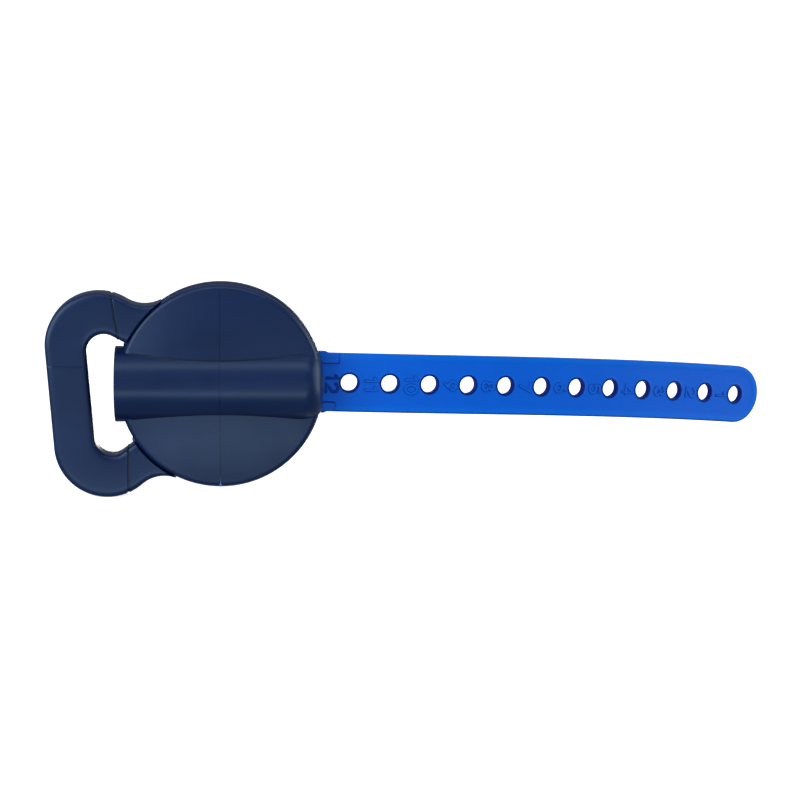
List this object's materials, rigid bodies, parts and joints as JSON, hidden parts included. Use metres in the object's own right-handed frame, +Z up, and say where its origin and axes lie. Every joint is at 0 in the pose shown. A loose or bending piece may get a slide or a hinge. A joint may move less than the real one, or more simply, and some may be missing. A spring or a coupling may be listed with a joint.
{
  "type": "sock aid",
  "caption": "Domed disc with a moulded tube, a D-shaped grip that swivels on a ring between its shells, and a curved flexible strap with a row of numbered round holes.",
  "frame": {"origin": "on the disc's axis at the axis of the tube", "axes": "+X from the disc towards the strap's tip, along the tube away from its mouth; +Z up across the strap's width; the dome faces -Y"},
  "size_m": [0.4517, 0.1701, 0.1334],
  "materials": {
    "navy_plastic": "satin moulded",
    "liner_rubber": "soft matte",
    "blue_strap": "translucent flexible, semi-gloss",
    "steel": "zinc plated",
    "pad_rubber": "matte, ribbed"
  },
  "bodies": {
    "disc": {"dome_shell": "navy_plastic", "base_shell": "navy_plastic", "socket_liner": "liner_rubber", "strap_pin": "steel", "strap_stud": "navy_plastic", "stud_screw": "steel", "shell_screws": "steel", "back_pad": "pad_rubber"},
    "handle": {"swivel_ring": "navy_plastic", "grip": "navy_plastic"},
    "strap": {"strap": "blue_strap"}
  },
  "joints": [
    {"name": "handle_swivel", "type": "hinge", "parent": "disc", "child": "handle", "pos_m": [0, 0, 0], "axis": [0, 1, 0], "range_deg": [0, 9.4]},
    {"name": "strap_hinge", "type": "hinge", "parent": "disc", "child": "strap", "pos_m": [0.0485, 0.0079, 0], "axis": [0, 0, 1], "range_deg": [0, 60]}
  ]
}
